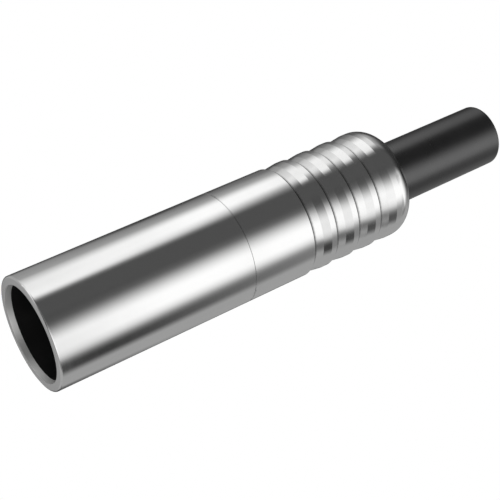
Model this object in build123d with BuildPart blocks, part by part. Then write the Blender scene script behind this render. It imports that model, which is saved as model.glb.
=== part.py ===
"""Three-contact circular audio plug for a cable, standing on its mouth.

Every piece lies on or round the Z axis. The rim of the mouth is in the plane Z = 0
and the cable leaves at the top. All lengths are in millimetres.
"""

from build123d import *
from math import radians, sqrt, tan
import os

# Contacts, on a circle round the axis
pitch_circle_r = 3.96
contact_degs = [180, 0, 270]  # contacts 1, 2 and 3, from +X towards +Y
contact_r = 1.18
contact_reach = 11.4  # carrier face to the tips
contact_tip_flat_r = 0.48
stem_r = 1.4  # inside the carrier, in front of the collar
collar_r = 1.7
collar_length = 2.0
cup_r = 1.45
cup_bore_r = 1.0
cup_length = 5.0
cup_bore_depth = 3.6
cup_cut_length = 2.6

# Two-part carrier that holds the contacts
carrier_rim = 0.51  # plastic outside the collars
front_half_length = 4.0
rear_half_length = 4.0
key_width = 2.0
key_height = 0.4

# Front shell
seat_depth = 16.8  # rim to the ring that the carrier is pushed against
seat_width = 1.2
seat_lip = 0.7  # how far that ring stands into the rear bore
neck_wall = 1.2  # metal between the rear bore and the pilot
shell_wall = 1.2  # metal round the mouth
shell_length = 34.9  # rim to the seam
lip_length = 0.95  # bare metal lip that covers the front edge of the liner
lip_lead_in = 0.2  # how much wider the lip is at the rim than at the liner
rim_round = 0.28  # outer edge of the rim
edge_break = 0.12  # other sharp edges outside

# Neck that the sleeve screws onto, plain at the root of its thread
neck_length = 8.1
pilot_length = 2.6  # plain stretch next to the seam, which centres the sleeve
thread_depth = 0.3
neck_lead_in = 0.25
sleeve_wall = 1.34  # metal outside the sleeve's bore

# Window that the latch of the mating socket drops into
window_width = 5.0
window_height = 3.4
window_from_rim = 7.6
window_corner_r = 0.6

# Insulating liner of the mouth
liner_wall = 0.35
liner_floor = 0.4
rib_width = 1.8
rib_height = 0.8
rib_from_window = 1.0

# Earth spring
spring_width = 2.4
spring_thickness = 0.25
spring_deg = 135
spring_tab = 1.4

# Insulating tube behind the carrier
tube_wall = 0.8

# Ring in the neck that keeps the sleeve from working loose
ring_depth = 0.5
ring_width = 0.6
ring_proud = 0.03
ring_from_seam = 1.5

# Cable and the collet that grips it
cable_r = 3.3
jaw_open = 0.15  # room round the thickest cable before the jaws close
collet_wall = 3.1
collet_flange = 1.4
collet_spigot = 2.0
collet_hub = 2.6
jaw_length = 11.0
jaw_taper_deg = 6.0
jaw_slot = 0.9
jaw_count = 6
jaw_root = 0.6
tooth_height = 0.25
tooth_width = 0.9
tooth_pitch = 1.8
tooth_count = 4

# Cone that closes the jaws, pressed into the sleeve
cone_wall = 0.75
cone_past_jaws = 0.9
sleeve_past_flange = 0.8  # clear bore behind the collet's flange

# Cable boot and its washer
washer_width = 0.6
washer_room = 0.3
boot_wall = 2.12
boot_flange = 2.3
boot_flange_lip = 1.5
boot_length = 22.8  # what stands out of the sleeve
boot_edge_r = 0.6
boot_bevel = 0.4

# Grip ribs of the sleeve, counted from its cable end
end_wall = 6.25  # metal behind the boot's flange
end_face = 0.5  # flat ring round the boot
grip_land = 1.08
grip_count = 4
grip_depth = 0.62
grip_step = 0.12  # length of the steep side
grip_long_side = 1.83
grip_knee_depth = 0.2
grip_short_side = 1.55
grip_crest = 1.05

# Clearances
push_gap = 0.03  # parts pushed together by hand
run_gap = 0.06  # round what turns
face_gap = 0.05  # between faces that turn on each other
flange_gap = 0.16  # round the collet's flange
jaw_gap = 0.15  # between the open jaws and their cone

# Radii that follow, from the contacts outwards
boss_r = pitch_circle_r + collar_r + carrier_rim
seat_r = boss_r + push_gap
rear_bore_r = seat_r + seat_lip
carrier_r = rear_bore_r - push_gap
tube_bore_r = carrier_r - tube_wall
neck_r = rear_bore_r + neck_wall
thread_root_r = neck_r - thread_depth
sleeve_bore_r = neck_r + run_gap
body_r = sleeve_bore_r + sleeve_wall
mouth_r = body_r - shell_wall
liner_r = mouth_r - push_gap
mating_r = liner_r - liner_wall
rim_bore_r = mating_r + lip_lead_in
ring_groove_r = neck_r - ring_depth
spring_outer_r = sqrt(carrier_r**2 - (spring_width / 2) ** 2)
spring_inner_r = spring_outer_r - spring_thickness

# Heights that follow, from the rim upwards
carrier_face_z = seat_depth - liner_floor
carrier_seat_z = seat_depth + seat_width
half_joint_z = carrier_seat_z + front_half_length
carrier_end_z = half_joint_z + rear_half_length
tube_start_z = carrier_end_z + spring_thickness + push_gap
thread_start_z = shell_length + pilot_length
neck_end_z = shell_length + neck_length
flange_end_z = neck_end_z + collet_flange
jaw_start_z = flange_end_z + collet_hub
jaw_end_z = jaw_start_z + jaw_length
cone_end_z = jaw_end_z + cone_past_jaws
washer_start_z = cone_end_z + face_gap
boot_start_z = washer_start_z + washer_width + face_gap
boot_seat_z = boot_start_z + boot_flange + face_gap
sleeve_start_z = shell_length + run_gap
sleeve_end_z = boot_seat_z + end_wall
boot_end_z = sleeve_end_z + boot_length

# Radii of the collet, the cone and the boot
jaw_bore_r = cable_r + jaw_open
jaw_start_r = jaw_bore_r + collet_wall
jaw_end_r = jaw_start_r - jaw_length * tan(radians(jaw_taper_deg))
cone_start_r = jaw_start_r + jaw_gap
cone_end_r = cone_start_r - (cone_end_z - jaw_start_z) * tan(radians(jaw_taper_deg))
cone_r = cone_start_r + cone_wall
cone_bore_r = cone_r + push_gap
boot_r = cable_r + boot_wall
boot_bore_r = boot_r + run_gap
boot_flange_r = boot_r + boot_flange_lip
flange_bore_r = boot_flange_r + run_gap
dome_r = body_r - boot_bore_r - end_face


def circles_at(piece, z):
    """Return the round edges of a piece at height z, the smallest first."""
    edges = piece.edges().filter_by(GeomType.CIRCLE)
    return edges.filter_by_position(Axis.Z, z - push_gap, z + push_gap).sort_by(SortBy.RADIUS)


def contact_holes(radius):
    """Draw one circle in each contact's place, in the sketch that is open."""
    for deg in contact_degs:
        with PolarLocations(pitch_circle_r, 1, start_angle=deg):
            Circle(radius)


def cut_latch_window():
    """Cut the latch window through the +Y wall of the piece that is open."""
    with BuildSketch(Plane.XZ) as window:
        with Locations((0, window_from_rim)):
            RectangleRounded(window_width, window_height, window_corner_r)
    extrude(window.sketch, amount=-2 * body_r, mode=Mode.SUBTRACT)


def cut_spring_slot(start_z, length):
    """Cut the slot for the earth spring along the carrier half that is open."""
    with BuildSketch(Plane.XY.offset(start_z)) as slot:
        with PolarLocations(spring_inner_r - push_gap, 1, start_angle=spring_deg):
            slot_size = (carrier_r, spring_width + 2 * push_gap)
            Rectangle(*slot_size, align=(Align.MIN, Align.CENTER))
    extrude(slot.sketch, amount=length, mode=Mode.SUBTRACT)


def carrier_key(start_z, length):
    """Add the key that keeps the carrier half that is open from turning."""
    with BuildSketch(Plane.XY.offset(start_z)) as key:
        with Locations((0, tube_bore_r)):
            key_size = (key_width - 2 * push_gap, rear_bore_r + key_height - push_gap - tube_bore_r)
            Rectangle(*key_size, align=(Align.CENTER, Align.MIN))
    extrude(key.sketch, amount=length)


# Front shell: the mouth with its lip, the ring that stops the carrier, and the neck
with BuildPart() as front_shell:
    with BuildSketch(Plane.XZ):
        with BuildLine():
            Polyline(
                (rim_bore_r, 0),
                (body_r, 0),
                (body_r, shell_length),
                (neck_r, shell_length),
                (neck_r, thread_start_z),
                (thread_root_r, thread_start_z),
                (thread_root_r, neck_end_z),
                (rear_bore_r, neck_end_z),
                (rear_bore_r, carrier_seat_z),
                (seat_r, carrier_seat_z),
                (seat_r, seat_depth),
                (mouth_r, seat_depth),
                (mouth_r, lip_length),
                (mating_r, lip_length),
                close=True,
            )
        make_face()
    revolve(axis=Axis.Z)
    fillet(circles_at(front_shell, 0)[-1], rim_round)
    chamfer(circles_at(front_shell, shell_length)[-1], edge_break)
    chamfer(circles_at(front_shell, neck_end_z)[-1], neck_lead_in)
    with BuildSketch(Plane.XZ):
        with Locations((ring_groove_r, shell_length + ring_from_seam)):
            groove_size = (2 * ring_depth, ring_width + 2 * push_gap)
            Rectangle(*groove_size, align=(Align.MIN, Align.CENTER))
    revolve(axis=Axis.Z, mode=Mode.SUBTRACT)
    cut_latch_window()
    with BuildSketch(Plane.XY.offset(carrier_seat_z)):
        with Locations((0, tube_bore_r)):
            keyway_size = (key_width, rear_bore_r + key_height - tube_bore_r)
            Rectangle(*keyway_size, align=(Align.CENTER, Align.MIN))
    extrude(amount=neck_end_z - carrier_seat_z, mode=Mode.SUBTRACT)
front_shell.part.label = "front_shell"

# Liner of the mouth, with a floor round the carrier and a rib that keys the mating socket
with BuildPart() as mouth_liner:
    with BuildSketch(Plane.XY.offset(lip_length + push_gap)):
        Circle(liner_r)
        Circle(mating_r, mode=Mode.SUBTRACT)
    extrude(amount=seat_depth - lip_length - push_gap)
    with BuildSketch(Plane.XY.offset(carrier_face_z)):
        Circle(liner_r)
        Circle(seat_r, mode=Mode.SUBTRACT)
    extrude(amount=liner_floor)
    cut_latch_window()
    rib_start_z = window_from_rim + window_height / 2 + rib_from_window
    with BuildSketch(Plane.XY.offset(rib_start_z)):
        with Locations((0, mating_r - rib_height)):
            rib_size = (rib_width, rib_height + liner_wall / 2)
            Rectangle(*rib_size, align=(Align.CENTER, Align.MIN))
    extrude(amount=seat_depth - rib_start_z)
mouth_liner.part.label = "mouth_liner"

# Front half of the carrier: a boss through the ring, and a flange with collar seats
with BuildPart() as carrier_front:
    with BuildSketch(Plane.XY.offset(carrier_face_z)):
        Circle(boss_r)
    extrude(amount=carrier_seat_z - carrier_face_z)
    with BuildSketch(Plane.XY.offset(carrier_seat_z)):
        Circle(carrier_r)
    extrude(amount=front_half_length)
    carrier_key(carrier_seat_z, front_half_length)
    cut_spring_slot(carrier_seat_z, front_half_length)
    with BuildSketch(Plane.XY.offset(carrier_face_z)):
        contact_holes(stem_r + push_gap)
    extrude(amount=half_joint_z - carrier_face_z, mode=Mode.SUBTRACT)
    with BuildSketch(Plane.XY.offset(half_joint_z - collar_length - push_gap)):
        contact_holes(collar_r + push_gap)
    extrude(amount=collar_length + push_gap, mode=Mode.SUBTRACT)
carrier_front.part.label = "carrier_front"

# Rear half of the carrier, which holds the collars in their seats
with BuildPart() as carrier_rear:
    with BuildSketch(Plane.XY.offset(half_joint_z)):
        Circle(carrier_r)
    extrude(amount=rear_half_length)
    carrier_key(half_joint_z, rear_half_length)
    cut_spring_slot(half_joint_z, rear_half_length)
    with BuildSketch(Plane.XY.offset(half_joint_z)):
        contact_holes(cup_r + push_gap)
    extrude(amount=rear_half_length, mode=Mode.SUBTRACT)
carrier_rear.part.label = "carrier_rear"


def make_contact(deg):
    """Build one contact: rounded pin, collar, and a solder cup open to the outside."""
    tip_z = carrier_face_z - contact_reach
    cup_end_z = carrier_end_z + cup_length
    with BuildPart() as contact:
        with BuildSketch(Plane.XY.offset(tip_z)):
            with PolarLocations(pitch_circle_r, 1, start_angle=deg):
                Circle(contact_r)
        extrude(amount=carrier_face_z - tip_z)
        fillet(circles_at(contact, tip_z), contact_r - contact_tip_flat_r)
        with BuildSketch(Plane.XY.offset(carrier_face_z)):
            with PolarLocations(pitch_circle_r, 1, start_angle=deg):
                Circle(stem_r)
        extrude(amount=half_joint_z - collar_length - carrier_face_z)
        with BuildSketch(Plane.XY.offset(half_joint_z - collar_length)):
            with PolarLocations(pitch_circle_r, 1, start_angle=deg):
                Circle(collar_r)
        extrude(amount=collar_length)
        with BuildSketch(Plane.XY.offset(half_joint_z)):
            with PolarLocations(pitch_circle_r, 1, start_angle=deg):
                Circle(cup_r)
        extrude(amount=cup_end_z - half_joint_z)
        with BuildSketch(Plane.XY.offset(cup_end_z)):
            with PolarLocations(pitch_circle_r, 1, start_angle=deg):
                Circle(cup_bore_r)
        extrude(amount=-cup_bore_depth, mode=Mode.SUBTRACT)
        with BuildSketch(Plane.XY.offset(cup_end_z)):
            with PolarLocations(pitch_circle_r, 1, start_angle=deg):
                Rectangle(2 * cup_r, 2 * cup_r, align=(Align.MIN, Align.CENTER))
        extrude(amount=-cup_cut_length, mode=Mode.SUBTRACT)
    return contact


contacts = [make_contact(deg) for deg in contact_degs]
for number, contact in enumerate(contacts, start=1):
    contact.part.label = f"contact_{number}"

# Earth spring: a leg in the carrier's slot and a tab bent over the carrier's end
with BuildPart() as earth_spring:
    with BuildSketch(Plane.XY.offset(carrier_seat_z + push_gap)):
        with PolarLocations(spring_inner_r, 1, start_angle=spring_deg):
            Rectangle(spring_thickness, spring_width, align=(Align.MIN, Align.CENTER))
    extrude(amount=carrier_end_z + spring_thickness - carrier_seat_z - push_gap)
    with BuildSketch(Plane.XY.offset(carrier_end_z)):
        with PolarLocations(spring_outer_r, 1, start_angle=spring_deg):
            Rectangle(spring_tab, spring_width, align=(Align.MAX, Align.CENTER))
    extrude(amount=spring_thickness)
    top_edges = earth_spring.edges().group_by(Axis.Z)[-1]
    bend_edge = top_edges.sort_by_distance((0, 0, carrier_end_z))[-1]
    fillet(bend_edge, 0.8 * spring_thickness)
earth_spring.part.label = "earth_spring"

# Insulating tube between the earth spring and the collet
with BuildPart() as spacer_tube:
    with BuildSketch(Plane.XY.offset(tube_start_z)):
        Circle(carrier_r)
        Circle(tube_bore_r, mode=Mode.SUBTRACT)
    extrude(amount=neck_end_z - tube_start_z)
spacer_tube.part.label = "spacer_tube"

# Flat ring in the groove of the neck
with BuildPart() as neck_ring:
    with BuildSketch(Plane.XY.offset(shell_length + ring_from_seam - ring_width / 2)):
        Circle(neck_r + ring_proud)
        Circle(ring_groove_r + push_gap, mode=Mode.SUBTRACT)
    extrude(amount=ring_width)
neck_ring.part.label = "neck_ring"

# Collet: a spigot in the tube, a flange on the neck's end and tapered toothed jaws
with BuildPart() as collet:
    with BuildSketch(Plane.XZ):
        with BuildLine():
            outline = [
                (jaw_bore_r, neck_end_z - collet_spigot),
                (tube_bore_r - push_gap, neck_end_z - collet_spigot),
                (tube_bore_r - push_gap, neck_end_z),
                (sleeve_bore_r - flange_gap, neck_end_z),
                (sleeve_bore_r - flange_gap, flange_end_z),
                (jaw_start_r, flange_end_z),
                (jaw_start_r, jaw_start_z),
                (jaw_end_r, jaw_end_z),
                (jaw_bore_r, jaw_end_z),
            ]
            for number in range(1, tooth_count + 1):
                tooth_z = jaw_end_z - number * tooth_pitch
                outline.append((jaw_bore_r, tooth_z + tooth_width / 2))
                outline.append((jaw_bore_r - tooth_height, tooth_z))
                outline.append((jaw_bore_r, tooth_z - tooth_width / 2))
            Polyline(*outline, close=True)
        make_face()
    revolve(axis=Axis.Z)
    with BuildSketch(Plane.XY.offset(jaw_start_z + jaw_root)):
        with PolarLocations(0, jaw_count):
            Rectangle(2 * jaw_start_r, jaw_slot, align=(Align.MIN, Align.CENTER))
    extrude(amount=jaw_length, mode=Mode.SUBTRACT)
collet.part.label = "collet"

# Cone that squeezes the jaws as the sleeve is screwed on
with BuildPart() as clamp_cone:
    with BuildSketch(Plane.XZ):
        with BuildLine():
            Polyline(
                (cone_start_r, jaw_start_z),
                (cone_r, jaw_start_z),
                (cone_r, cone_end_z),
                (cone_end_r, cone_end_z),
                close=True,
            )
        make_face()
    revolve(axis=Axis.Z)
clamp_cone.part.label = "clamp_cone"

# Rear sleeve: stepped bore, ratchet-shaped grip ribs and a domed cable end
grip_pitch = grip_step + grip_long_side + grip_short_side + grip_crest
grip_end_z = sleeve_end_z - dome_r - grip_land
with BuildPart() as rear_sleeve:
    with BuildSketch(Plane.XZ):
        with BuildLine():
            outline = [(sleeve_bore_r, sleeve_start_z), (body_r, sleeve_start_z)]
            for number in reversed(range(grip_count)):
                knee_z = grip_end_z - number * grip_pitch - grip_short_side
                outline.append((body_r, knee_z - grip_long_side - grip_step))
                outline.append((body_r - grip_depth, knee_z - grip_long_side))
                outline.append((body_r - grip_knee_depth, knee_z))
                outline.append((body_r, knee_z + grip_short_side))
            outline += [
                (body_r, sleeve_end_z),
                (boot_bore_r, sleeve_end_z),
                (boot_bore_r, boot_seat_z),
                (flange_bore_r, boot_seat_z),
                (flange_bore_r, cone_end_z),
                (cone_bore_r, cone_end_z),
                (cone_bore_r, flange_end_z + sleeve_past_flange),
                (sleeve_bore_r, flange_end_z + sleeve_past_flange),
            ]
            Polyline(*outline, close=True)
        make_face()
    revolve(axis=Axis.Z)
    fillet(circles_at(rear_sleeve, sleeve_end_z)[-1], dome_r)
    chamfer(circles_at(rear_sleeve, sleeve_start_z)[-1], edge_break)
rear_sleeve.part.label = "rear_sleeve"

# Washer that the cone's end turns on
with BuildPart() as boot_washer:
    with BuildSketch(Plane.XY.offset(washer_start_z)):
        Circle(boot_flange_r)
        Circle(cable_r + washer_room, mode=Mode.SUBTRACT)
    extrude(amount=washer_width)
boot_washer.part.label = "boot_washer"

# Rubber boot: a flange held in the sleeve and a plain tube round the cable
with BuildPart() as cable_boot:
    with BuildSketch(Plane.XZ):
        with BuildLine():
            Polyline(
                (cable_r, boot_start_z),
                (boot_flange_r, boot_start_z),
                (boot_flange_r, boot_seat_z - face_gap),
                (boot_r, boot_seat_z - face_gap),
                (boot_r, boot_end_z),
                (cable_r, boot_end_z),
                close=True,
            )
        make_face()
    revolve(axis=Axis.Z)
    fillet(circles_at(cable_boot, boot_end_z)[-1], boot_edge_r)
    chamfer(circles_at(cable_boot, boot_end_z)[0], boot_bevel)
cable_boot.part.label = "cable_boot"

pieces = [front_shell, mouth_liner, carrier_front, carrier_rear, *contacts, earth_spring]
pieces += [spacer_tube, neck_ring, collet, clamp_cone, rear_sleeve, boot_washer, cable_boot]
os.makedirs("parts", exist_ok=True)
for piece in pieces:
    export_step(piece.part, f"parts/{piece.part.label}.step")
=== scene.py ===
"""Finishes and studio for a three-pin circular audio cable plug.

The plug stands on its mouth, with +Z along its axis from the mouth towards the cable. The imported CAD
solids give every shape and size. This file dresses them, adds the screw thread that the solids leave out,
and sets up the camera, the light and the floor. Lengths are in metres and angles in degrees.
"""

import logging
import math
from dataclasses import dataclass, field
from enum import Enum
from typing import Any

import bpy
import numpy as np
from mathutils import Matrix


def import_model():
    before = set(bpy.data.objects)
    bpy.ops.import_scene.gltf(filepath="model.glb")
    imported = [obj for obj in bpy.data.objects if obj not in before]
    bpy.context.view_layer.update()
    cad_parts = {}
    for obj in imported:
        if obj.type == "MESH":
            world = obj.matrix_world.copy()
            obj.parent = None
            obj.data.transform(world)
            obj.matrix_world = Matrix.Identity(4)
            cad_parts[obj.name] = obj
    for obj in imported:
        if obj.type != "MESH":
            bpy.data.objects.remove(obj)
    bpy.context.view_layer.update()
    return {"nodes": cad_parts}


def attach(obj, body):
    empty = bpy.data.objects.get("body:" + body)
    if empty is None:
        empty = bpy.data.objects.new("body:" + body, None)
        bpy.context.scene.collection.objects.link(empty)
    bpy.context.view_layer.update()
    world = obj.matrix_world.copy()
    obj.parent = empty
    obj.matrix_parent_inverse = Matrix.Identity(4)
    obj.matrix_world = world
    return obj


log = logging.getLogger("plug")

MM = 0.001
HALF_TURN = 180.0
MEAN_NOISE = 0.5
STRAIGHT_UP = 90.0
STRAIGHT_DOWN = -90.0
WHITE = (1.0, 1.0, 1.0, 1.0)

Colour = tuple[float, float, float]
Point = tuple[float, float, float]


class Slot(Enum):
    """The record's names for the part's finishes."""

    PLATED_SHELL = "plated_shell"
    BLACK_PLASTIC = "black_plastic"
    CONTACT_METAL = "contact_metal"
    SPRING_METAL = "spring_metal"
    GREY_RUBBER = "grey_rubber"
    PALE_PLASTIC = "pale_plastic"
    BLACK_RUBBER = "black_rubber"


class Grain(Enum):
    """The direction in which a metal's tool marks run."""

    ROUND_THE_AXIS = "turned"
    ALONG_THE_AXIS = "rolled"


class Mixed(Enum):
    """What a Mix node mixes: its data type, and the places of its A, its B and its result."""

    VECTOR = ("VECTOR", 4, 5, 1)
    COLOUR = ("RGBA", 6, 7, 2)


class Sock:
    """A node's output that takes part in ordinary arithmetic."""

    def __init__(self, graph: "Graph", socket: bpy.types.NodeSocket | None) -> None:
        """Keeps the graph and the output socket, which a last node doesn't have."""
        self.graph = graph
        self.socket = socket

    def __add__(self, other: "Sock | float") -> "Sock":
        """self + other"""
        return self.graph.maths("ADD", self, other)

    def __sub__(self, other: "Sock | float") -> "Sock":
        """self - other"""
        return self.graph.maths("SUBTRACT", self, other)

    def __rsub__(self, other: float) -> "Sock":
        """other - self"""
        return self.graph.maths("SUBTRACT", other, self)

    def __mul__(self, other: "Sock | float") -> "Sock":
        """self * other"""
        return self.graph.maths("MULTIPLY", self, other)

    def __truediv__(self, other: "Sock | float") -> "Sock":
        """self / other"""
        return self.graph.maths("DIVIDE", self, other)

    def __rtruediv__(self, other: float) -> "Sock":
        """other / self"""
        return self.graph.maths("DIVIDE", other, self)

    def __neg__(self) -> "Sock":
        """-self"""
        return self.graph.maths("MULTIPLY", self, -1.0)

    __radd__ = __add__
    __rmul__ = __mul__


class Graph:
    """A node tree that is written as expressions."""

    def __init__(self, tree: bpy.types.NodeTree) -> None:
        """Empties the tree, so that every node in it is one that the graph adds."""
        self.tree = tree
        tree.nodes.clear()

    def node(
        self,
        kind: str,
        settings: dict[str, Any] | None = None,
        inputs: dict[str | int, Any] | None = None,
        output: str | int = 0,
    ) -> Sock:
        """Adds any node.

        Args:
            kind: The node's type.
            settings: The node's own properties, which are set first.
            inputs: Values or links for its sockets, by name or by place.
            output: The output that is wanted, by name or by place.

        Returns:
            That output.
        """
        made = self.tree.nodes.new(kind)
        for name, value in (settings or {}).items():
            setattr(made, name, value)
        for key, value in (inputs or {}).items():
            if isinstance(value, Sock):
                self.tree.links.new(value.socket, made.inputs[key])
            else:
                made.inputs[key].default_value = value
        return Sock(self, made.outputs[output]) if made.outputs else Sock(self, None)

    def maths(self, operation: str, *values: "Sock | float") -> Sock:
        """A Math node of that operation on the values, in their order."""
        return self.node("ShaderNodeMath", {"operation": operation}, dict(enumerate(values)))

    def smooth(self, value: Sock, start: float, end: float) -> Sock:
        """Rises smoothly from 0 where value is start to 1 where it is end."""
        inputs = {"Value": value, "From Min": start, "From Max": end}
        return self.node("ShaderNodeMapRange", {"interpolation_type": "SMOOTHSTEP"}, inputs)

    def mix(self, kind: Mixed, share: Sock, first: Any, second: Any) -> Sock:
        """Mixes two values of one kind.

        Args:
            kind: What they are.
            share: How much of the second there is, from 0 to 1.
            first: The first, as a node's output or as plain numbers.
            second: The second, likewise.

        Returns:
            The mixed value.
        """
        data_type, a, b, result = kind.value
        return self.node("ShaderNodeMix", {"data_type": data_type}, {0: share, a: first, b: second}, result)

    def blend(self, share: Sock, first: "Sock | Colour", second: Colour) -> Sock:
        """The first colour where share is 0 and the second where it is 1."""
        start = first if isinstance(first, Sock) else (*first, 1.0)
        return self.mix(Mixed.COLOUR, share, start, (*second, 1.0))

    def noise(self, where: Sock, scale: float, detail: float = 2.0, roughness: float = 0.5) -> Sock:
        """Even noise round MEAN_NOISE at a point, with scale in features per metre."""
        inputs = {"Vector": where, "Scale": scale, "Detail": detail, "Roughness": roughness}
        return self.node("ShaderNodeTexNoise", {"noise_dimensions": "3D"}, inputs)

    def lines(self, along: Sock, pitch: float, detail: float = 3.0, roughness: float = 0.65) -> Sock:
        """Noise round MEAN_NOISE that varies along one length only, with a feature to every pitch."""
        inputs = {"W": along / pitch, "Scale": 1.0, "Detail": detail, "Roughness": roughness}
        return self.node("ShaderNodeTexNoise", {"noise_dimensions": "1D"}, inputs)

    def parts(self, vector: Sock) -> tuple[Sock, ...]:
        """The x, y and z of a vector."""
        split = self.node("ShaderNodeSeparateXYZ", inputs={0: vector}).socket.node
        return tuple(Sock(self, split.outputs[axis]) for axis in "XYZ")

    def place(self) -> tuple[Sock, ...]:
        """The point in the object's own frame, and its x, y and z."""
        point = self.node("ShaderNodeTexCoord", output="Object")
        return (point, *self.parts(point))

    def outward(self, x: Sock, y: Sock, radius: Sock) -> Sock:
        """Works out the normal of a round wall, (x, y, 0) / radius.

        Args:
            x: The point's x in the object's own frame.
            y: The point's y there.
            radius: The point's distance from the axis.

        Returns:
            The normal, turned with the piece that it is on.
        """
        flat = self.node("ShaderNodeCombineXYZ", inputs={0: x / radius, 1: y / radius})
        settings = {"vector_type": "NORMAL", "convert_from": "OBJECT", "convert_to": "WORLD"}
        return self.node("ShaderNodeVectorTransform", settings, {"Vector": flat})

    def surface(self, shader: Sock) -> None:
        """Makes the shader the tree's surface."""
        self.node("ShaderNodeOutputMaterial", inputs={"Surface": shader})


def unit(vector: Point | np.ndarray) -> np.ndarray:
    """The vector at a length of 1."""
    return np.array(vector) / np.linalg.norm(vector)


def stance(place: Point, right: np.ndarray, back: np.ndarray) -> Matrix:
    """Works out how a camera or a lamp stands.

    Args:
        place: Where it is.
        right: The unit direction to its right.
        back: The unit direction behind it.

    Returns:
        Its matrix. The columns of the turn are right, up and back, and up is back x right.
    """
    matrix = np.eye(4)
    matrix[:3, :3] = np.stack((right, np.cross(back, right), back), axis=1)
    matrix[:3, 3] = place
    return Matrix(matrix.tolist())


def new_material(name: str) -> tuple[bpy.types.Material, Graph]:
    """Makes an empty material.

    Args:
        name: The material's name.

    Returns:
        The material and the graph of its nodes.
    """
    made = bpy.data.materials.new(name)
    made.use_nodes = True
    return made, Graph(made.node_tree)


@dataclass(frozen=True)
class Band:
    """A band of a turned piece that differs from the rest of its finish, or that carries painted shade.

    It lies between two heights, outside least_r, and fades out where the radius grows from full_r to
    gone_r. A band with a colour is rougher by rougher, too. A band with flush above 0 is polished
    over, so that its small edges shade as the round wall beside them by that share.
    """

    least_r: float
    full_r: float
    gone_r: float
    first_z: float
    last_z: float
    colour: Colour | None = None
    rougher: float = 0.0
    flush: float = 0.0

    def share(self, g: Graph, radius: Sock, z: Sock) -> Sock:
        """How much of the band there is at a point.

        Args:
            g: The finish's graph.
            radius: The point's distance from the axis.
            z: The point's height.

        Returns:
            1 in the band, and 0 off it.
        """
        seen = 1.0 - g.smooth(radius, self.full_r, self.gone_r)
        seen = seen * g.maths("GREATER_THAN", radius, self.least_r)
        return seen * g.maths("GREATER_THAN", z, self.first_z) * g.maths("LESS_THAN", z, self.last_z)


@dataclass(frozen=True)
class MachinedMetal:
    """A turned, rolled or plated metal with fine and broad tool marks and a haze from handling.

    The haze fades in where its noise grows from haze_from to haze_full. The broad marks are
    broad_ratio times as wide as the fine ones.
    """

    name: str
    colour: Colour
    hazed: Colour
    roughness: float
    mark_spread: float
    haze_spread: float
    mark_pitch: float
    mark_depth: float
    grain: Grain = Grain.ROUND_THE_AXIS
    haze_scale: float = 95.0
    haze_from: float = 0.35
    haze_full: float = 0.7
    broad_ratio: float = 9.0
    broad_spread: float = 0.6
    fine_height: float = 0.6
    broad_height: float = 0.8
    bands: tuple[Band, ...] = ()

    def material(self) -> bpy.types.Material:
        """Builds the metal's nodes.

        Turned marks follow the length z + radius. It grows along a round wall and across a flat end
        face alike, so both get rings. Rolled marks follow x + y, so they run along the axis.

        Returns:
            The material.
        """
        made, g = new_material(self.name)
        point, x, y, z = g.place()
        radius = g.maths("SQRT", x * x + y * y)
        across = z + radius if self.grain is Grain.ROUND_THE_AXIS else x + y
        marks = g.lines(across, self.mark_pitch)
        broad = g.lines(across, self.mark_pitch * self.broad_ratio, detail=1.0)
        haze = g.smooth(g.noise(point, self.haze_scale, detail=3.0), self.haze_from, self.haze_full)
        rough = self.roughness + (marks - MEAN_NOISE) * self.mark_spread
        rough = rough + (broad - MEAN_NOISE) * self.mark_spread * self.broad_spread
        rough = rough + haze * self.haze_spread
        height = marks * self.fine_height + broad * self.broad_height
        bump_inputs = {"Strength": 1.0, "Distance": self.mark_depth, "Height": height}
        colour = g.blend(haze, self.colour, self.hazed)
        for band in self.bands:
            share = band.share(g, radius, z)
            # a band's colour is a tone of its own, or painted shade, as at the feet of the grip's grooves
            if band.colour:
                colour = g.blend(share, colour, band.colour)
                rough = rough + share * band.rougher
            if band.flush:
                facing = g.node("ShaderNodeNewGeometry", output="Normal")
                flush = g.mix(Mixed.VECTOR, share * band.flush, facing, g.outward(x, y, radius))
                bump_inputs["Normal"] = flush
        normal = g.node("ShaderNodeBump", inputs=bump_inputs)
        inputs = {"Base Color": colour, "Metallic": 1.0, "Roughness": rough, "Normal": normal}
        g.surface(g.node("ShaderNodeBsdfPrincipled", inputs=inputs))
        return made


@dataclass(frozen=True)
class MouldedSkin:
    """A moulded plastic or rubber with the grain of its mould and faint flow marks.

    The flow marks fade in where their noise grows from flow_from to flow_full. Their share of the
    roughness is flow_spread, and faint rings round the axis add ring_spread, one to every ring_pitch.
    """

    name: str
    colour: Colour
    flowed: Colour
    roughness: float
    roughness_spread: float
    grain_size: float
    grain_depth: float
    ior: float = 1.5
    grain_sharpness: float = 0.6
    flow_scale: float = 130.0
    flow_from: float = 0.3
    flow_full: float = 0.7
    flow_spread: float = 0.7
    ring_pitch: float = 2.1 * MM
    ring_spread: float = 0.04

    def material(self) -> bpy.types.Material:
        """Builds the skin's nodes: a fine even grain in the bump, and flow marks in the colour.

        Returns:
            The material.
        """
        made, g = new_material(self.name)
        point, _, _, z = g.place()
        grain = g.noise(point, 1.0 / self.grain_size, roughness=self.grain_sharpness)
        flow = g.smooth(g.noise(point, self.flow_scale, detail=3.0), self.flow_from, self.flow_full)
        rings = g.lines(z, self.ring_pitch, detail=1.0)
        rough = self.roughness + (grain - MEAN_NOISE) * self.roughness_spread
        rough = rough + (flow - MEAN_NOISE) * self.roughness_spread * self.flow_spread
        rough = rough + (rings - MEAN_NOISE) * self.ring_spread
        bump_inputs = {"Strength": 1.0, "Distance": self.grain_depth, "Height": grain}
        normal = g.node("ShaderNodeBump", inputs=bump_inputs)
        inputs = {
            "Base Color": g.blend(flow, self.colour, self.flowed),
            "Roughness": rough,
            "IOR": self.ior,
            "Normal": normal,
        }
        g.surface(g.node("ShaderNodeBsdfPrincipled", inputs=inputs))
        return made
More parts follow.
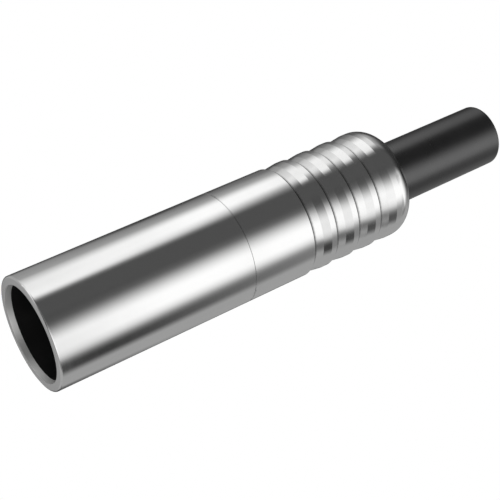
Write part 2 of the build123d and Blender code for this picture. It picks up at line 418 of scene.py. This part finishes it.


# painted shade at the feet of the grip's grooves: the colour is darkened there, and the metal is rougher
GROOVE_FEET_SHADE = Band(
    least_r=8.6 * MM,
    full_r=8.92 * MM,
    gone_r=9.04 * MM,
    first_z=45.5 * MM,
    last_z=63.5 * MM,
    colour=(0.05, 0.05, 0.05),
    rougher=0.25,
)
# the bare lip in front of the liner, turned but not polished
MOUTH_LIP = Band(
    least_r=7.8 * MM,
    full_r=8.1 * MM,
    gone_r=8.14 * MM,
    first_z=-1.0 * MM,
    last_z=0.97 * MM,
    colour=(0.8, 0.8, 0.79),
    rougher=0.4,
)
# the small edges on both sides of the seam, polished with the wall
SEAM_EDGES = Band(
    least_r=9.385 * MM,
    full_r=9.6 * MM,
    gone_r=9.7 * MM,
    first_z=34.7 * MM,
    last_z=35.2 * MM,
    flush=1.0,
)

FINISHES: dict[Slot, MachinedMetal | MouldedSkin] = {
    Slot.PLATED_SHELL: MachinedMetal(
        name="satin_nickel_plate",
        colour=(0.95, 0.95, 0.945),
        hazed=(0.92, 0.92, 0.915),
        roughness=0.085,
        mark_spread=0.05,
        haze_spread=0.03,
        mark_pitch=0.16 * MM,
        mark_depth=0.0010 * MM,
        bands=(GROOVE_FEET_SHADE, MOUTH_LIP, SEAM_EDGES),
    ),
    Slot.BLACK_PLASTIC: MouldedSkin(
        name="black_moulding",
        colour=(0.005, 0.005, 0.0051),
        flowed=(0.009, 0.009, 0.0092),
        roughness=0.3,
        roughness_spread=0.1,
        grain_size=0.11 * MM,
        grain_depth=0.006 * MM,
    ),
    Slot.CONTACT_METAL: MachinedMetal(
        name="silver_plated_pin",
        colour=(0.82, 0.81, 0.78),
        hazed=(0.74, 0.72, 0.67),
        roughness=0.2,
        mark_spread=0.12,
        haze_spread=0.08,
        mark_pitch=0.09 * MM,
        mark_depth=0.0020 * MM,
        haze_scale=260.0,
    ),
    Slot.SPRING_METAL: MachinedMetal(
        name="rolled_strip",
        colour=(0.72, 0.72, 0.71),
        hazed=(0.6, 0.6, 0.59),
        roughness=0.27,
        mark_spread=0.16,
        haze_spread=0.08,
        mark_pitch=0.07 * MM,
        mark_depth=0.0022 * MM,
        grain=Grain.ALONG_THE_AXIS,
        haze_scale=200.0,
    ),
    Slot.GREY_RUBBER: MouldedSkin(
        name="grey_ring_rubber",
        colour=(0.115, 0.115, 0.118),
        flowed=(0.135, 0.135, 0.135),
        roughness=0.62,
        roughness_spread=0.12,
        grain_size=0.09 * MM,
        grain_depth=0.007 * MM,
    ),
    Slot.PALE_PLASTIC: MouldedSkin(
        name="natural_moulding",
        colour=(0.64, 0.64, 0.61),
        flowed=(0.59, 0.585, 0.555),
        roughness=0.4,
        roughness_spread=0.12,
        grain_size=0.14 * MM,
        grain_depth=0.005 * MM,
    ),
    Slot.BLACK_RUBBER: MouldedSkin(
        name="satin_black_rubber",
        colour=(0.0018, 0.0018, 0.002),
        flowed=(0.0038, 0.0038, 0.0041),
        roughness=0.3,
        roughness_spread=0.07,
        grain_size=0.16 * MM,
        grain_depth=0.003 * MM,
        ior=2.02,
    ),
}


class Wardrobe:
    """Builds each finish once and hands it out."""

    def __init__(self) -> None:
        """Starts with nothing built."""
        self._made: dict[Slot, bpy.types.Material] = {}

    def finish(self, slot: Slot) -> bpy.types.Material:
        """Hands out a finish, and builds it first where it is new.

        Args:
            slot: The finish's name.

        Returns:
            Its material.
        """
        if slot not in self._made:
            self._made[slot] = FINISHES[slot].material()
        return self._made[slot]


@dataclass
class ScrewThread:
    """A right-hand ridge that winds round a plain neck, with its section sunk a little into the metal.

    It rises to its full height over run_out_turns at each end, from dip times its height under the
    neck. Its edges stay sharp where its faces turn by more than sharp_from.
    """

    root_r: float
    crest_r: float
    first_z: float
    last_z: float
    pitch: float
    crest_width: float
    root_width: float
    buried: float
    run_out_turns: float = 0.35
    dip: float = 0.05
    steps_per_turn: int = 112
    sharp_from: float = 25.0

    def _profile(self, rise: np.ndarray) -> tuple[np.ndarray, np.ndarray]:
        """Works out the ridge's section for every step of its path.

        The section has six corners: two under the neck's surface, two at the root and two at the
        crest. The crest's radius is the root's plus the ridge's height times rise, and the root's
        corners never stand above the crest's.

        Args:
            rise: The share of the full height at each step, a little below 0 at both ends.

        Returns:
            The radius and the offset along the axis, each of steps x corners.
        """
        steps = rise.size
        height = self.crest_r - self.root_r
        crest = self.root_r + height * rise
        inner = np.full(steps, self.root_r - self.buried)
        root = np.minimum(np.full(steps, self.root_r), crest)
        radius = np.stack((inner, root, crest, crest, root, inner), axis=1)
        half = np.array((self.root_width, self.root_width, self.crest_width)) / 2
        offset = np.tile(np.concatenate((-half, half[::-1])), (steps, 1))
        return radius, offset

    def mesh(self, name: str) -> bpy.types.Mesh:
        """Winds the section up the neck.

        At the angle a from +X, a point of the path lies at the height first_z + pitch * a / (2 pi).
        Each corner of the section has its own radius and its own offset from that height. Both ends
        are closed with one face.

        Args:
            name: The mesh's name.

        Returns:
            The closed mesh.
        """
        turns = (self.last_z - self.first_z) / self.pitch
        steps = int(round(turns * self.steps_per_turn)) + 1
        turn = np.linspace(0.0, turns, steps)
        ends = np.minimum(turn, turns - turn) / self.run_out_turns
        ends = np.clip(ends, 0.0, 1.0)
        rise = ends * ends * (3.0 - 2.0 * ends) * (1.0 + self.dip) - self.dip
        radius, offset = self._profile(rise)
        sides = radius.shape[1]
        angle = turn[:, None] * 2.0 * math.pi
        height = self.first_z + self.pitch * turn[:, None] + offset
        points = np.stack((radius * np.cos(angle), radius * np.sin(angle), height), axis=2)
        step = np.arange(steps - 1)[:, None] * sides
        ahead = step + sides
        corner = np.arange(sides)[None, :]
        after = (corner + 1) % sides
        quads = np.stack((step + corner, ahead + corner, ahead + after, step + after), axis=2)
        last = (steps - 1) * sides
        caps = [tuple(range(sides)), tuple(range(last + sides - 1, last - 1, -1))]
        made = bpy.data.meshes.new(name)
        made.from_pydata(points.reshape(-1, 3).tolist(), [], quads.reshape(-1, 4).tolist() + caps)
        made.shade_smooth()
        made.set_sharp_from_angle(angle=math.radians(self.sharp_from))
        made.validate()
        return made


@dataclass
class SubAssembly:
    """A group of the plug's pieces that is dressed together."""

    title: str
    nodes: dict[str, bpy.types.Object]
    wardrobe: Wardrobe
    finishes: dict[str, Slot] = field(default_factory=dict)

    def dress(self) -> None:
        """Gives every CAD node of the group its finish, in the slot that it already has."""
        for name, slot in self.finishes.items():
            node = self.nodes[name]
            for place in node.material_slots:
                place.material = self.wardrobe.finish(slot)
            log.info("%s: %s is finished as %s", self.title, name, slot.value)

    def add(self, mesh: bpy.types.Mesh, body: str, slot: Slot) -> bpy.types.Object:
        """Puts a new piece in the scene, dresses it and lets it ride.

        Args:
            mesh: The piece's mesh, in the plug's own frame.
            body: The CAD body that carries it.
            slot: Its finish.

        Returns:
            The piece's object, at the origin.
        """
        piece = bpy.data.objects.new(mesh.name, mesh)
        bpy.context.scene.collection.objects.link(piece)
        mesh.materials.append(self.wardrobe.finish(slot))
        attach(piece, body)
        log.info("%s: %s has %d faces", self.title, piece.name, len(mesh.polygons))
        return piece


@dataclass
class FrontShell(SubAssembly):
    """The plated tube with the mouth, its liner, and the neck that the sleeve screws onto."""

    neck_root_r: float = 7.80 * MM
    neck_crest_r: float = 8.09 * MM
    thread_first_z: float = 37.88 * MM
    thread_last_z: float = 42.38 * MM
    thread_pitch: float = 1.0 * MM
    thread_crest_width: float = 0.28 * MM
    thread_root_width: float = 0.64 * MM
    thread_buried: float = 0.12 * MM

    def build(self) -> None:
        """Dresses the shell and winds the thread round its neck."""
        self.finishes = {
            "front_shell": Slot.PLATED_SHELL,
            "mouth_liner": Slot.BLACK_PLASTIC,
            "earth_spring": Slot.SPRING_METAL,
            "neck_ring": Slot.GREY_RUBBER,
        }
        self.dress()
        thread = ScrewThread(
            root_r=self.neck_root_r,
            crest_r=self.neck_crest_r,
            first_z=self.thread_first_z,
            last_z=self.thread_last_z,
            pitch=self.thread_pitch,
            crest_width=self.thread_crest_width,
            root_width=self.thread_root_width,
            buried=self.thread_buried,
        )
        self.add(thread.mesh("neck_thread"), "shell", Slot.PLATED_SHELL)


@dataclass
class ContactCarrier(SubAssembly):
    """The two halves of the carrier, its three contacts and the tube round their solder cups."""

    def build(self) -> None:
        """Dresses the carrier and its contacts."""
        self.finishes = {
            "carrier_front": Slot.BLACK_PLASTIC,
            "carrier_rear": Slot.BLACK_PLASTIC,
            "contact_1": Slot.CONTACT_METAL,
            "contact_2": Slot.CONTACT_METAL,
            "contact_3": Slot.CONTACT_METAL,
            "spacer_tube": Slot.BLACK_PLASTIC,
        }
        self.dress()


@dataclass
class CableClamp(SubAssembly):
    """The jaws that grip the cable, the cone that closes them and the washer behind it."""

    def build(self) -> None:
        """Dresses the clamp."""
        self.finishes = {
            "collet": Slot.PALE_PLASTIC,
            "clamp_cone": Slot.PALE_PLASTIC,
            "boot_washer": Slot.PALE_PLASTIC,
        }
        self.dress()


@dataclass
class SleeveAndBoot(SubAssembly):
    """The ribbed screw sleeve, and the rubber boot that leaves it round the cable."""

    def build(self) -> None:
        """Dresses the sleeve and the boot."""
        self.finishes = {"rear_sleeve": Slot.PLATED_SHELL, "cable_boot": Slot.BLACK_RUBBER}
        self.dress()


@dataclass(frozen=True)
class Card:
    """A lit or dark card of the studio, as the metal sees it.

    Its left and right edges are azimuths, from -Y towards +X. Its low and high edges are heights above
    the horizon. Each edge is soft over its own number of degrees to either side. A level of 1 is
    white. The lower part of a mirrored card is there again below the horizon, upside down.
    """

    name: str
    level: float
    left: float
    right: float
    left_soft: float
    right_soft: float
    low: float = STRAIGHT_DOWN
    high: float = STRAIGHT_UP
    low_soft: float = 1.0
    high_soft: float = 1.0
    mirrored: bool = True

    def share(self, g: Graph, azimuth: Sock, height: Sock) -> Sock:
        """How much of the card is seen in a direction.

        It is the product of smooth steps, one for each edge that the card has. The azimuth is taken
        from the card's middle and wrapped, so that a card may lie behind the plug.

        Args:
            g: The world's graph.
            azimuth: The direction's azimuth.
            height: The direction's height, folded up from below the horizon for a mirrored card.

        Returns:
            0 off the card, and 1 on it.
        """
        middle = (self.left + self.right) / 2
        half = (self.right - self.left) / 2
        turned = g.maths("WRAP", azimuth - middle, HALF_TURN, -HALF_TURN)
        seen = g.smooth(turned, -half - self.left_soft, -half + self.left_soft)
        seen = seen * (1.0 - g.smooth(turned, half - self.right_soft, half + self.right_soft))
        if self.low > STRAIGHT_DOWN:
            seen = seen * g.smooth(height, self.low - self.low_soft, self.low + self.low_soft)
        if self.high < STRAIGHT_UP:
            seen = seen * (1.0 - g.smooth(height, self.high - self.high_soft, self.high + self.high_soft))
        return seen


@dataclass(frozen=True)
class View:
    """The camera, where the plug's outline was fitted. Its lens and sensor are in millimetres."""

    lens: float = 92.47
    sensor: float = 36.0
    near: float = 0.005
    far: float = 20.0
    eye: Point = (0.0, -0.1886, -0.05305)
    right: Point = (0.40711, -0.40507, 0.81866)
    up: Point = (-0.91334, -0.17130, 0.36943)

    def build(self) -> None:
        """Puts the camera below the mouth's plane and looks through it."""
        data = bpy.data.cameras.new("camera")
        data.lens = self.lens
        data.sensor_width = self.sensor
        data.clip_start = self.near
        data.clip_end = self.far
        camera = bpy.data.objects.new("camera", data)
        right = unit(self.right)
        camera.matrix_world = stance(self.eye, right, unit(np.cross(right, self.up)))
        bpy.context.scene.collection.objects.link(camera)
        bpy.context.scene.camera = camera


@dataclass(frozen=True)
class Surroundings:
    """What is all round the plug: plain white for the camera, and the studio for the metal.

    The studio is a grey surround, over which the cards are laid one after the other. Below the
    horizon the mirrored cards' lower parts, up to the height fold, are there again. The floor pales
    all that is there, more and more from paled_from down to paled_full, and straight down it is
    darker, from foot_from to foot_full. Dull surfaces get an even light at the level ambient.
    """

    surround: float = 0.34
    ambient: float = 0.78
    fold: float = 30.0
    floor_share: float = 0.06
    floor_level: float = 0.8
    paled_from: float = 1.0
    paled_full: float = -5.0
    foot_level: float = 0.45
    foot_from: float = -50.0
    foot_full: float = -76.0
    # each card is its name, its level, its left and right edges, how soft these are, and then, where
    # it has them, its low and high edges and how soft those are
    cards: tuple[Card, ...] = (
        Card("left white", 1.09, -105.0, -44.0, 13.0, 18.0, high=33.0, high_soft=9.0),
        Card("middle dark", 0.074, -63.0, 5.0, 16.0, 23.0),
        Card("middle dark, upper corner", 0.074, -69.0, -20.0, 12.0, 5.0, low=29.0, low_soft=5.0),
        Card("middle dark, lower corner", 0.074, -59.0, -20.0, 12.0, 5.0, high=8.5, high_soft=2.5),
        Card("middle dark, notch", 0.074, -65.0, -30.0, 13.0, 5.0, 9.5, 12.5, 2.5, 1.5),
        Card("left white, low corner", 1.0, -85.0, -59.5, 8.0, 7.0, 13.5, 22.0, 2.5, 6.0),
        Card("right white", 1.06, 13.3, 63.0, 20.0, 16.0),
        Card("right white, upper part", 1.08, 16.5, 84.5, 28.0, 21.0, low=46.0, low_soft=3.0),
        Card("right white, top", 1.05, 12.0, 60.0, 30.0, 20.0, low=52.0, low_soft=5.0),
        Card("right white, dimmer strip", 0.57, 19.0, 71.0, 26.0, 5.0, 10.4, 15.3, 4.6, 8.4),
        Card("flag beside it", 0.057, -16.7, 13.8, 9.0, 18.0, 8.8, 17.3, 2.0, 8.0),
        Card("dark block", 0.013, 73.0, 102.5, 13.0, 10.0, 15.0, 27.7, 2.0, 14.0),
        Card("dark block, foot", 0.15, 68.0, 89.0, 9.0, 9.0, high=12.5, high_soft=2.5),
        Card("left white, lower part", 0.55, -113.3, -76.0, 6.0, 28.0, high=17.0, high_soft=13.0),
        Card("behind, low", 0.02, -213.0, -157.0, 8.0, 6.0, high=17.9, high_soft=6.6),
        Card("behind, left", 0.06, -163.0, -144.0, 7.0, 9.0, 19.5, 25.5, 3.5, 3.0),
        Card("behind", 0.05, 164.0, 206.0, 5.0, 14.0),
        Card("behind, high", 0.052, 165.0, 234.0, 6.0, 13.0, low=24.0, low_soft=18.0),
        Card("left, high", 0.05, 170.0, 305.0, 10.0, 12.0, low=50.0, low_soft=13.0),
        Card("right white, dimmer edge above", 0.42, 4.0, 18.0, 6.0, 20.0, 38.0, 58.0, 3.0, 6.0),
        Card("dark block, upper part", 0.2, 92.0, 107.0, 8.0, 8.0, 37.5, 50.0, 2.5, 5.0),
        Card("behind, high, right part", 0.05, 132.0, 172.0, 14.0, 5.0, low=60.0, low_soft=8.0),
        Card("ceiling", 0.025, -180.0, 180.0, 0.5, 0.5, low=67.2, low_soft=17.5),
        Card("what the rim faces", 0.35, 120.0, 240.0, 12.0, 12.0, -60.0, -14.0, 8.0, 6.0, mirrored=False),
    )

    def build(self) -> None:
        """Builds the world's nodes."""
        world = bpy.data.worlds.new("studio")
        bpy.context.scene.world = world
        world.use_nodes = True
        g = Graph(world.node_tree)
        x, y, z = g.parts(g.node("ShaderNodeTexCoord", output="Generated"))
        azimuth = g.maths("ARCTAN2", x, -y) * (HALF_TURN / math.pi)
        height = g.maths("ARCSINE", z) * (HALF_TURN / math.pi)
        folded = g.maths("MAXIMUM", height, g.maths("MINIMUM", -height, self.fold))
        above: Sock | float = self.surround
        for card in self.cards:
            share = card.share(g, azimuth, folded if card.mirrored else height)
            above = above + share * (card.level - above)
        paled = above * (1.0 - self.floor_share) + self.floor_level * self.floor_share
        down = 1.0 - g.smooth(height, self.paled_full, self.paled_from)
        studio = above + down * (paled - above)
        lit = self.foot_level + (1.0 - self.foot_level) * g.smooth(height, self.foot_full, self.foot_from)
        studio = studio * lit
        path = g.node("ShaderNodeLightPath").socket.node
        seen, glossy = Sock(g, path.outputs["Is Camera Ray"]), Sock(g, path.outputs["Is Glossy Ray"])
        light = self.ambient + glossy * (studio - self.ambient)
        light = light + seen * (1.0 - light)
        shown = g.node("ShaderNodeBackground", inputs={"Color": WHITE, "Strength": light})
        g.node("ShaderNodeOutputWorld", inputs={"Surface": shown})


@dataclass(frozen=True)
class SoftLamp:
    """One soft lamp, up and to the left, that gives dull surfaces their modelling."""

    place: Point = (-0.34, -0.46, 0.62)
    aim: Point = (0.0, 0.0, 0.04)
    size: float = 0.32
    watts: float = 1.9

    def build(self) -> None:
        """Hangs the lamp, level and turned to its aim, where neither camera nor metal sees it."""
        data = bpy.data.lights.new("soft_lamp", "AREA")
        data.shape = "DISK"
        data.size = self.size
        data.energy = self.watts
        lamp = bpy.data.objects.new("soft_lamp", data)
        back = unit(np.subtract(self.place, self.aim))
        lamp.matrix_world = stance(self.place, unit(np.cross((0.0, 0.0, 1.0), back)), back)
        lamp.visible_glossy = False
        lamp.visible_camera = False
        bpy.context.scene.collection.objects.link(lamp)


@dataclass(frozen=True)
class Floor:
    """A round pale floor that keeps the plug's shadow, fades to white far out and is clear from below.

    It lies at z, just under the mouth. It is mottled from colour to paler, and fades between the
    radii fade_from and fade_full.
    """

    z: float = -0.02 * MM
    radius: float = 0.9
    rings: int = 24
    spokes: int = 96
    colour: Colour = (0.9, 0.9, 0.9)
    paler: Colour = (0.92, 0.92, 0.92)
    mottle_scale: float = 40.0
    mottle_from: float = 0.3
    mottle_full: float = 0.7
    fade_from: float = 0.05
    fade_full: float = 0.26

    def _mesh(self) -> bpy.types.Mesh:
        """Draws the floor as a grid of rings and spokes round one middle face.

        A point lies at a radius that grows with the square of its ring's number, at the angle of
        its spoke.

        Returns:
            The flat mesh.
        """
        radius = self.radius * (np.arange(1, self.rings + 1)[:, None] / self.rings) ** 2
        angle = np.arange(self.spokes)[None, :] * 2.0 * math.pi / self.spokes
        flat = np.full((self.rings, self.spokes), self.z)
        points = np.stack((radius * np.cos(angle), radius * np.sin(angle), flat), axis=2)
        ring = np.arange(self.rings - 1)[:, None] * self.spokes
        outer = ring + self.spokes
        spoke = np.arange(self.spokes)[None, :]
        after = (spoke + 1) % self.spokes
        quads = np.stack((ring + spoke, outer + spoke, outer + after, ring + after), axis=2)
        faces = quads.reshape(-1, 4).tolist() + [tuple(range(self.spokes))]
        made = bpy.data.meshes.new("floor")
        made.from_pydata(points.reshape(-1, 3).tolist(), [], faces)
        return made

    def _material(self) -> bpy.types.Material:
        """Builds the floor's nodes.

        Returns:
            The material: dull in the middle, plain white far out, and clear from below.
        """
        made, g = new_material("pale_floor")
        point, x, y, _ = g.place()
        away = g.smooth(g.maths("SQRT", x * x + y * y), self.fade_from, self.fade_full)
        mottle = g.smooth(g.noise(point, self.mottle_scale), self.mottle_from, self.mottle_full)
        colour = g.blend(mottle, self.colour, self.paler)
        dull = g.node("ShaderNodeBsdfDiffuse", inputs={"Color": colour})
        white = g.node("ShaderNodeEmission", inputs={"Color": WHITE, "Strength": 1.0})
        clear = g.node("ShaderNodeBsdfTransparent")
        under = g.node("ShaderNodeNewGeometry", output="Backfacing")
        top = g.node("ShaderNodeMixShader", inputs={0: away, 1: dull, 2: white})
        g.surface(g.node("ShaderNodeMixShader", inputs={0: under, 1: top, 2: clear}))
        return made

    def build(self) -> None:
        """Lays the floor, which takes shadows but lights nothing and isn't seen in the metal."""
        mesh = self._mesh()
        mesh.materials.append(self._material())
        floor = bpy.data.objects.new("floor", mesh)
        bpy.context.scene.collection.objects.link(floor)
        floor.visible_diffuse = False
        floor.visible_glossy = False
        floor.visible_shadow = False


@dataclass(frozen=True)
class Studio:
    """The camera, the white surroundings with their cards, the lamp and the floor."""

    view: View = View()
    surroundings: Surroundings = Surroundings()
    lamp: SoftLamp = SoftLamp()
    floor: Floor = Floor()

    def build(self) -> None:
        """Builds all four, and shows plain levels as they are."""
        self.view.build()
        self.surroundings.build()
        self.lamp.build()
        self.floor.build()
        bpy.context.scene.view_settings.view_transform = "Standard"
        log.info("studio: camera, world with %d cards, lamp and floor", len(self.surroundings.cards))


def main() -> None:
    """Loads the solids, dresses every group and sets up the studio."""
    logging.basicConfig(level=logging.INFO, format="%(name)s %(message)s")
    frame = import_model()
    nodes, wardrobe = frame["nodes"], Wardrobe()
    FrontShell("front shell", nodes, wardrobe).build()
    ContactCarrier("contact carrier", nodes, wardrobe).build()
    CableClamp("cable clamp", nodes, wardrobe).build()
    SleeveAndBoot("sleeve and boot", nodes, wardrobe).build()
    Studio().build()


if __name__ == "__main__":
    main()
